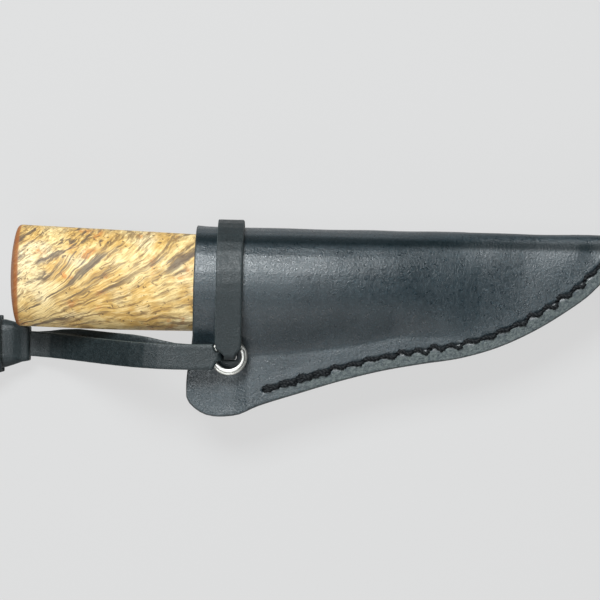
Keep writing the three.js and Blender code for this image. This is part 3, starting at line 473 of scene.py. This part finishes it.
def burl(name, fan_x, fan_y):
    """Stabilised spalted burl. Brown streaks fan out from one place (in millimetres) and bend
    upwards. Above them the figure turns into short slanting dashes and specks, over cream wood
    with yellow, amber and bleached patches."""
    shader = Shader(name)

    def shaken(place, scale, reach, detail):
        shake = shader.vector("SUBTRACT", shader.noise(scale, detail).outputs["Color"], (0.5, 0.5, 0.5))
        return shader.vector("ADD", place, shader.vector("SCALE", shake, Scale=reach))

    place = shaken(shaken(shader.place, 0.06, 5.0, 2), 0.35, 0.9, 2)
    x, y, z = shader.separate(shader.vector("SUBTRACT", place, (fan_x, fan_y, 0)))
    flat = shader.combine(x, y, 0.0)
    reach = shader.add("ShaderNodeVectorMath", {0: flat}, operation="LENGTH").outputs["Value"]
    bend = shader.math("SUBTRACT", 1.0, shader.math("MULTIPLY", reach, 0.006))
    angle = shader.math("MULTIPLY", shader.math("ARCTAN2", y, x), bend)

    def fan(angle_scale, reach_scale, depth_scale):
        return shader.combine(
            shader.math("MULTIPLY", angle, angle_scale),
            shader.math("MULTIPLY", reach, reach_scale),
            shader.math("MULTIPLY", z, depth_scale),
        )

    slanted = shader.add("ShaderNodeMapping", {
        "Vector": place,
        "Rotation": (0, 0, math.radians(DASH_SLANT)),
    }, vector_type="POINT").outputs["Vector"]

    def dashes(along, across):
        return shader.vector("MULTIPLY", slanted, (along, across, 0.25 * across))

    border = shader.range(shader.noise(0.12, 2).outputs["Fac"], 0.3, 0.7, -0.12, 0.12)
    above = shader.range(shader.math("ADD", angle, border), 0.46, 0.62)

    def figure(fan_place, dash_place, detail, roughness=0.6):
        """Noise that follows the fan below and the dashes above."""
        low = shader.noise(1.0, detail, fan_place, roughness).outputs["Fac"]
        high = shader.noise(1.0, detail, dash_place, roughness).outputs["Fac"]
        low_share = shader.math("MULTIPLY", low, shader.math("SUBTRACT", 1.0, above))
        return shader.math("ADD", shader.math("MULTIPLY", high, above), low_share)

    broad = figure(fan(9.0, 0.03, 0.05), dashes(0.07, 0.2), 2)
    streaks = figure(fan(25.0, 0.03, 0.08), dashes(0.12, 0.7), 4)
    lines = figure(fan(58.0, 0.08, 0.15), dashes(0.3, 1.6), 4, 0.7)
    fibres = figure(fan(110.0, 0.2, 0.5), dashes(0.7, 3.0), 3, 0.7)
    patches = shader.noise(0.13, 3, place).outputs["Fac"]
    bleached = shader.noise(0.075, 2, shader.vector("ADD", place, (31, 12, 5))).outputs["Fac"]
    amber = shader.noise(0.2, 3, shader.vector("ADD", place, (7, 45, 9))).outputs["Fac"]
    specks = shader.noise(0.9, 2, place).outputs["Fac"]
    color = shader.mix(shader.range(patches, 0.4, 0.62), WOOD["cream"], WOOD["yellow"])
    color = shader.mix(shader.range(bleached, 0.5, 0.66, 0, 0.75), color, WOOD["bleached"])
    color = shader.mix(shader.range(amber, 0.58, 0.7, 0, 0.85), color, WOOD["amber"])
    color = shader.mix(shader.range(fibres, 0.42, 0.66, 0, 0.6), color, WOOD["brown fibre"])
    color = shader.mix(shader.range(fibres, 0.5, 0.3, 0, 0.45), color, WOOD["pale fibre"])
    color = shader.mix(shader.range(lines, 0.5, 0.62, 0, 0.75), color, WOOD["line"])
    clustered = shader.range(broad, 0.41, 0.54, 0.2, 1)
    strong = shader.math("MULTIPLY", shader.range(streaks, 0.51, 0.58), clustered)
    color = shader.mix(shader.math("MULTIPLY", strong, 0.85), color, WOOD["streak"])
    in_patches = shader.range(patches, 0.4, 0.55, 0.3, 1)
    speck = shader.math("MULTIPLY", shader.range(specks, 0.62, 0.7), in_patches)
    color = shader.mix(shader.math("MULTIPLY", speck, 0.85), color, WOOD["speck"])
    end = shader.marked("end", shader.range(lines, 0.35, 0.65, 1, 0.8))
    color = shader.mix(end, color, WOOD["end grain"])
    relief = shader.bump(fibres, 0.12, 0.1 * MM)
    return shader.set(
        Base_Color=color, Roughness=shader.range(fibres, 0.3, 0.7, 0.48, 0.62), Normal=relief,
        Specular_IOR_Level=0.25,
    )


def steel(name, color, roughness, grind):
    """Ground steel. `grind` scales the place along each axis, and small numbers follow the lines."""
    shader = Shader(name)
    lines = shader.noise(1.0, 4, shader.vector("MULTIPLY", shader.place, grind), 0.7).outputs["Fac"]
    smudge = shader.noise(0.12, 3).outputs["Fac"]
    handled = shader.range(smudge, 0.3, 0.7, roughness - 0.05, roughness + 0.05)
    worn = shader.math("ADD", shader.range(lines, 0.3, 0.7, 0, 0.12), handled)
    tone = shader.mix(shader.range(smudge, 0.35, 0.7, 0, 0.5), color, tuple(0.85 * c for c in color))
    return shader.set(
        Base_Color=tone, Metallic=1.0, Roughness=worn, Normal=shader.bump(lines, 0.1, 0.02 * MM),
    )


def thread_material():
    """Waxed black thread with a little fibre in its surface."""
    shader = Shader("waxed_thread")
    fuzz = shader.noise(5.0, 3).outputs["Fac"]
    color = shader.mix(shader.range(fuzz, 0.4, 0.75, 0, 0.6), THREAD_BLACK, THREAD_FUZZ)
    return shader.set(
        Base_Color=color, Roughness=shader.range(fuzz, 0.3, 0.7, 0.5, 0.7), Specular_IOR_Level=0.25,
        Normal=shader.bump(fuzz, 0.5, 0.1 * MM),
    )


def glue_material():
    """Cured amber epoxy with a few clouds in it."""
    shader = Shader("amber_epoxy")
    clouds = shader.noise(0.5, 3).outputs["Fac"]
    color = shader.mix(shader.range(clouds, 0.35, 0.7), EPOXY_DEEP, EPOXY_CLOUDY)
    return shader.set(
        Base_Color=color, Roughness=shader.range(clouds, 0.3, 0.7, 0.18, 0.3), Coat_Weight=0.4,
        Coat_Roughness=0.1,
    )


# the last number is the share of gloss left in the sheath's band of painted shade
SHEATH_LEATHER = leather("sheath_leather", SHEATH_DARK, SHEATH_LIGHT, SHEATH_CUT, 0.33, 0.6, 0.24)
STRAP_LEATHER = leather("strap_leather", STRAP_DARK, STRAP_LIGHT, STRAP_CUT, 0.46, 0.4, 1)
THREAD = thread_material()


# ------------------------------------------------------------------ seam

def plane_crossings(node, level):
    """Where a CAD thread crosses a level: one place for each hole that it goes through."""
    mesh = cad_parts[node].data
    crossings = []
    for edge in mesh.edges:
        a, b = (mesh.vertices[i].co for i in edge.vertices)
        if (a.z - level) * (b.z - level) < 0:
            crossings.append(a.lerp(b, (level - a.z) / (b.z - a.z)))
    groups = []
    for place in sorted(crossings, key=lambda p: p.x):
        for group in groups:
            if (group[0] - place).length < HOLE_APART:
                group.append(place)
                break
        else:
            groups.append([place])
    return [sum(group, Vector()) / len(group) for group in groups]


def seam_holes():
    """The middles of the seam's holes, from the start of the seam to the tip."""
    low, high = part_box("welt")
    level = (low.z + high.z) / 2
    first, second = (plane_crossings(f"seam_thread_{letter}", level) for letter in "ab")
    return [(a + b) / 2 for a, b in zip(first, second)]


HOLES = seam_holes()


# ------------------------------------------------------------------ sheath

def closed_holes(points):
    """Draws the leather in round the threads, so that the seam's holes are nearly shut."""
    for hole in HOLES:
        out = points[:, :2] - np.array((hole.x, hole.y))
        distance = np.linalg.norm(out, axis=1)
        near = distance < HOLE_DRAW_REACH
        reach = distance[near]
        drawn = HOLE_CLOSING * (1 - smooth_step((reach - HOLE_RADIUS) / HOLE_DRAW_FADE))
        points[near, :2] -= out[near] / reach[:, None] * np.minimum(drawn, 0.6 * reach)[:, None]
    return points


def sheath_edges(points):
    """How far each point is from a cut edge that shows, and from any edge or hole."""
    low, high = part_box("sheath_shell")

    def is_edge(normal, centre):
        return abs(normal.z) < 0.03 and centre.y < high.y - FOLD_DEPTH

    def near_hole(centre):
        apart = (math.hypot(hole.x - centre.x, hole.y - centre.y) for hole in HOLES)
        return min(apart) < 1.8 * HOLE_RADIUS

    def is_cut(normal, centre):
        return is_edge(normal, centre) and not near_hole(centre)

    def is_mouth(normal, centre):
        return normal.x < -0.9 and centre.x < low.x + MOUTH_REACH

    cut = face_samples("sheath_shell", is_cut) + face_samples("sheath_shell", is_mouth)
    edge = face_samples("sheath_shell", is_edge) + cut
    return distance_to(cut, points), distance_to(edge, points)


def seam_distance(points):
    """How far each point is from the line of the seam, seen from the front."""
    line = []
    for hole, after in zip(HOLES, HOLES[1:]):
        line.extend(hole.lerp(after, k / SEAM_SAMPLES) for k in range(SEAM_SAMPLES + 1))
    flat = points.copy()
    flat[:, 2] = HOLES[0].z
    return distance_to(line, flat)


def sheath():
    """The folded, wet-moulded leather, with its stitch channel and its burnished edges."""
    mesh = remeshed("sheath_shell", SHEATH_VOXEL)
    points, edges = mesh_arrays(mesh)
    low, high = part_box("sheath_shell")
    from_cut, from_edge = sheath_edges(points)
    away = smooth_step((from_edge - EDGE_HELD) / EDGE_FADE)
    points = relaxed(points, edges, SHEATH_ROUNDS, away)
    points = relaxed(points, edges, SHEATH_SOFTENING, np.ones(len(points)))
    set_points(mesh, points)
    normals = vertex_normals(mesh)
    height = points[:, 2] - HOLES[0].z
    outside = np.where(height * normals[:, 2] > 0, 1.0, 0.0)
    from_seam = seam_distance(points)
    channel = (1 - smooth_step(from_seam / SEAM_CHANNEL_WIDTH)) * outside
    dent_x = high.x - TIP_DENT_BACK
    dent_y = high.y - TIP_DENT_DOWN
    from_dent = np.hypot(points[:, 0] - dent_x, points[:, 1] - dent_y)
    dent = (1 - smooth_step(from_dent / TIP_DENT_RADIUS)) * np.where(height > 0, 1, 0)
    sway = SWAY * np.array([noise.noise(Vector(point) * SWAY_WAVES) for point in points])
    above_floor = smooth_step((points[:, 2] - FLOOR_CLEAR) / FLOOR_FADE)
    shift = sway * above_floor * away - channel * SEAM_CHANNEL_DEPTH - dent * TIP_DENT_DEPTH
    points = closed_holes(points + normals * shift[:, None])
    set_points(mesh, points)
    past_mouth = smooth_step((points[:, 0] - low.x - MARGIN_START) / MARGIN_RISE)
    margin = (1 - smooth_step((from_cut - MARGIN_WIDTH) / MARGIN_FADE)) * past_mouth
    groove = (1 - smooth_step((from_seam - GROOVE_HALF) / GROOVE_FADE)) * outside
    # marks the band of painted shade where the leather bends over the spine
    from_shade_band = np.abs(high.y - SHADE_BAND_DEPTH - points[:, 1])
    set_attribute(mesh, "rim", 1 - smooth_step((from_cut - RIM_WIDTH) / RIM_FADE))
    set_attribute(mesh, "margin", margin)
    set_attribute(mesh, "groove", groove)
    set_attribute(mesh, "fold_shade", 1 - smooth_step((from_shade_band - SHADE_BAND_HALF) / SHADE_BAND_FADE))
    return finish_piece(
        "sheath_leather_shell", mesh, SHEATH_LEATHER, "sheath", "sheath_shell",
    )


# ------------------------------------------------------------------ straps

def strap(name, node, body, rim_of):
    """A leather strap with soft corners. `rim_of` says from the normals which surface is cut. It
    has no margin, groove or band of painted shade, and its material takes them as zero."""
    mesh = remeshed(node, STRAP_VOXEL)
    points, edges = mesh_arrays(mesh)
    flat = 1 - smooth_step((rim_of(vertex_normals(mesh)) - 0.35) / 0.3)
    points = relaxed(points, edges, STRAP_ROUNDS, flat)
    points = relaxed(points, edges, STRAP_SOFTENING, np.ones(len(points)))
    set_points(mesh, points)
    set_attribute(mesh, "rim", smooth_step((rim_of(vertex_normals(mesh)) - 0.55) / 0.35))
    finish_piece(name, mesh, STRAP_LEATHER, body, node)


def across_x(normals):
    return np.abs(normals[:, 0])


def across_y(normals):
    return np.abs(normals[:, 1])


def upright(normals):
    return 1 - np.abs(normals[:, 2])


# ------------------------------------------------------------------ thread

def strands(path, side):
    """Two strands twisted round a path."""
    path = np.asarray(path)
    steps = np.linalg.norm(np.diff(path, axis=0), axis=1)
    run = np.concatenate([[0], np.cumsum(steps)])
    angle = 2 * math.pi * run / TWIST_LENGTH
    side = np.broadcast_to(np.asarray(side, dtype=float), path.shape)
    side, across = sweep_axes(path, side)
    corners = np.arange(STRAND_SIDES) * 2 * math.pi / STRAND_SIDES
    ring = STRAND_RADIUS * np.stack([np.cos(corners), np.sin(corners)], axis=1)
    made = []
    for turn in (0, math.pi):
        out = np.cos(angle + turn)[:, None] * side + np.sin(angle + turn)[:, None] * across
        made.append(swept(path + out * STRAND_OFFSET, side, ring))
    return made


def surface_level(tree, x, y, face):
    """The height of the sheath's front (1) or back (-1) face at a place."""
    hit = tree.ray_cast(Vector((x, y, face * RAY_START)), Vector((0, 0, -face)))[0]
    return hit.z


def bare_level(tree, place, across, face):
    """The leather's height beside a hole, clear of the hole itself."""
    levels = []
    for step in (-BESIDE_HOLE, BESIDE_HOLE):
        beside = place + across * step
        levels.append(surface_level(tree, beside.x, beside.y, face))
    return sum(levels) / 2


def seam_side(i):
    """The direction across the seam at a hole."""
    before = HOLES[max(i - 1, 0)]
    after = HOLES[min(i + 1, len(HOLES) - 1)]
    along = (after - before).normalized()
    return Vector((-along.y, along.x, 0))


def seam_thread(tree, faces, side_step):
    """One thread of the saddle stitch, in and out of every hole. `faces` says on which face the
    stitch after each hole lies, and `side_step` how far the thread keeps to one side in a hole."""
    path = []
    side = []
    for i, hole in enumerate(HOLES):
        across = seam_side(i)
        here = hole + across * side_step
        for face in (-faces(i), faces(i)):
            level = bare_level(tree, hole, across, face)
            path.append((here.x, here.y, level - face * STITCH_BITE))
            side.append(across)
        if i == len(HOLES) - 1:
            break
        end = HOLES[i + 1] + seam_side(i + 1) * side_step
        face = faces(i)
        start_level = bare_level(tree, hole, across, face)
        end_level = bare_level(tree, HOLES[i + 1], seam_side(i + 1), face)
        slant = STITCH_SLANT * (1 + 0.4 * math.sin(7.1 * i))
        for k in range(1, STITCH_STEPS):
            share = k / STITCH_STEPS
            place = here.lerp(end, share) + across * slant * math.sin(2 * math.pi * share)
            near_end = min(share, 1 - share)
            sink = 1 - min(1, near_end / STITCH_SINK_SHARE)
            level = start_level + (end_level - start_level) * share
            lift = 1.25 * STRAND_RADIUS - 0.7 * SEAM_CHANNEL_DEPTH - STITCH_SINK * sink * sink
            path.append((place.x, place.y, level + face * lift))
            side.append(across)
    return strands(path, side)


def knot(tree, face):
    """The start of the seam, sewn twice: short thick turns of thread that lie over each other."""
    made = []
    for i in range(KNOT_STITCHES):
        start = HOLES[i]
        across = seam_side(i)
        end = HOLES[i + 1]
        levels = [bare_level(tree, place, across, face) for place in (start, end)]
        for shift in KNOT_SHIFTS:
            path = []
            for k in range(KNOT_STEPS + 1):
                share = k / KNOT_STEPS
                wave = KNOT_WAVE * math.sin(5 * share * math.pi + i + 0.9 * shift / MM)
                place = start.lerp(end, share) + across * (shift * (1 - 1.2 * share) + wave)
                level = levels[0] + (levels[1] - levels[0]) * share
                sink = 1 - min(1, min(share, 1 - share) / KNOT_SINK_SHARE)
                lift = 1.3 * STRAND_RADIUS - KNOT_SINK * sink * sink
                path.append((place.x, place.y, level + face * lift))
            made.extend(strands(path, across))
    return made


def seam(shell):
    """Both threads of the seam. The first one also ties the start."""
    tree = BVHTree.FromObject(shell, bpy.context.evaluated_depsgraph_get())
    first = seam_thread(tree, lambda i: 1 if i % 2 == 0 else -1, STITCH_SIDE_STEP)
    first.extend(knot(tree, 1))
    second = seam_thread(tree, lambda i: -1 if i % 2 == 0 else 1, -STITCH_SIDE_STEP)
    for letter, parts in (("a", first), ("b", second)):
        name = f"seam_stitches_{letter}"
        finish_piece(name, mesh_from(name, parts), THREAD, "sheath", f"seam_thread_{letter}")


# ------------------------------------------------------------------ split ring

def split_ring():
    """Two turns of flattened wire, with the step where it changes from one coil to the other."""
    low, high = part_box("split_ring")
    centre = (low + high) / 2
    outer = (high.x - low.x) / 2
    inner = outer - WIRE_WIDTH - COIL_INSET
    path = []
    side = []
    for degrees in np.linspace(RING_STEP, 720 - RING_STEP, RING_POINTS):
        climb = float(smooth_step((degrees - 360 + RING_STEP) / (2 * RING_STEP)))
        angle = math.radians(degrees + RING_STEP_ANGLE)
        radius = (outer - WIRE_WIDTH / 2) * (1 - climb) + (inner + WIRE_WIDTH / 2) * climb
        z = low.z + WIRE_HEIGHT / 2 + climb * (high.z - low.z - WIRE_HEIGHT)
        out = (math.cos(angle), math.sin(angle), 0)
        path.append((centre.x + radius * out[0], centre.y + radius * out[1], z))
        side.append(out)
    section = []
    for k in range(WIRE_SIDES):
        angle = 2 * math.pi * k / WIRE_SIDES
        wide = math.cos(angle)
        tall = math.sin(angle)
        section.append((
            WIRE_WIDTH / 2 * math.copysign(abs(wide) ** WIRE_ROUNDNESS, wide),
            WIRE_HEIGHT / 2 * math.copysign(abs(tall) ** WIRE_ROUNDNESS, tall),
        ))
    mesh = mesh_from("split_ring_wire", [swept(path, side, section)])
    material = steel("ring_nickel", NICKEL, 0.34, (0.9, 0.9, 6.0))
    finish_piece("split_ring_wire", mesh, material, "ring", "split_ring")


# ------------------------------------------------------------------ knife

def handle():
    """The burl block, with its end grain marked at the butt."""
    mesh = remeshed("handle", HANDLE_VOXEL)
    points, edges = mesh_arrays(mesh)
    low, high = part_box("handle")
    butt = points[:, 0] - low.x
    at_rim = np.exp(-((butt - BUTT_RIM) / BUTT_RIM_WIDTH) ** 2)
    before_blade = smooth_step((high.x - points[:, 0]) / BLADE_END_FADE)
    points = relaxed(points, edges, HANDLE_ROUNDS, (1 - BUTT_RIM_HOLD * at_rim) * before_blade)
    set_points(mesh, points)
    faces_back = -vertex_normals(mesh)[:, 0]
    set_attribute(mesh, "end", smooth_step((faces_back - 0.06) / 0.12))
    material = burl("spalted_burl", (low.x - FAN_BACK) / MM, (low.y - FAN_DOWN) / MM)
    finish_piece("handle_burl", mesh, material, "knife", "handle")


def keep(node, material):
    """Gives a CAD node that stays its material."""
    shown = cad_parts[node]
    shown.data.materials.clear()
    shown.data.materials.append(material)


# ------------------------------------------------------------------ stage

def stage():
    """A pale floor that glows a little, like a light table, so that it shows hardly any shadow."""
    mesh = bpy.data.meshes.new("floor")
    corners = [(-1, -1), (1, -1), (1, 1), (-1, 1)]
    points = [(x * FLOOR_HALF, y * FLOOR_HALF, -FLOOR_GAP) for x, y in corners]
    mesh.from_pydata(points, [], [(0, 1, 2, 3)])
    floor = link("floor", mesh)
    material = bpy.data.materials.new("pale_floor")
    material.use_nodes = True
    surface = material.node_tree.nodes["Principled BSDF"]
    surface.inputs["Base Color"].default_value = (FLOOR_GREY, FLOOR_GREY, FLOOR_GREY, 1)
    surface.inputs["Specular IOR Level"].default_value = 0
    surface.inputs["Roughness"].default_value = 0.9
    surface.inputs["Emission Color"].default_value = (1, 1, 1, 1)
    surface.inputs["Emission Strength"].default_value = FLOOR_GLOW
    mesh.materials.append(material)


def area_light(name, place, target, size, watts, color):
    data = bpy.data.lights.new(name, "AREA")
    data.shape = "RECTANGLE"
    data.size, data.size_y = size
    data.energy = watts
    data.color = color
    lamp = bpy.data.objects.new(name, data)
    lamp.location = place
    lamp.rotation_euler = (Vector(target) - Vector(place)).to_track_quat("-Z", "Y").to_euler()
    bpy.context.scene.collection.objects.link(lamp)


def lights():
    world = bpy.data.worlds.new("studio")
    world.use_nodes = True
    background = world.node_tree.nodes["Background"]
    background.inputs["Color"].default_value = WORLD_COLOR
    background.inputs["Strength"].default_value = WORLD_STRENGTH
    bpy.context.scene.world = world
    for name, settings in LIGHTS.items():
        area_light(name, *settings)


def camera():
    data = bpy.data.cameras.new("camera")
    data.lens = LENS
    data.sensor_width = SENSOR
    made = bpy.data.objects.new("camera", data)
    low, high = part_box("welt")
    distance = VIEW_WIDTH / 2 / (SENSOR / 2 / LENS)
    made.location = (VIEW_X, VIEW_Y, (low.z + high.z) / 2 + distance)
    made.rotation_euler = (0, 0, math.radians(VIEW_TURN))
    data.clip_start = 0.01
    bpy.context.scene.collection.objects.link(made)
    bpy.context.scene.camera = made


camera()
lights()
stage()
shell = sheath()
seam(shell)
strap("collar_leather", "collar_strap", "sheath", across_x)
strap("hanger_leather", "hanger_strap", "hanger", across_y)
strap("neck_leather", "neck_sleeve", "hanger", upright)
strap("belt_loop_leather", "belt_loop", "hanger", upright)
split_ring()
handle()
keep("welt", SHEATH_LEATHER)
keep("hanger_thread", THREAD)
keep("tang_epoxy", glue_material())
keep("blade", steel("blade_satin", BLADE_STEEL, 0.28, (9.0, 0.25, 9.0)))

bpy.context.scene.view_settings.view_transform = "Standard"
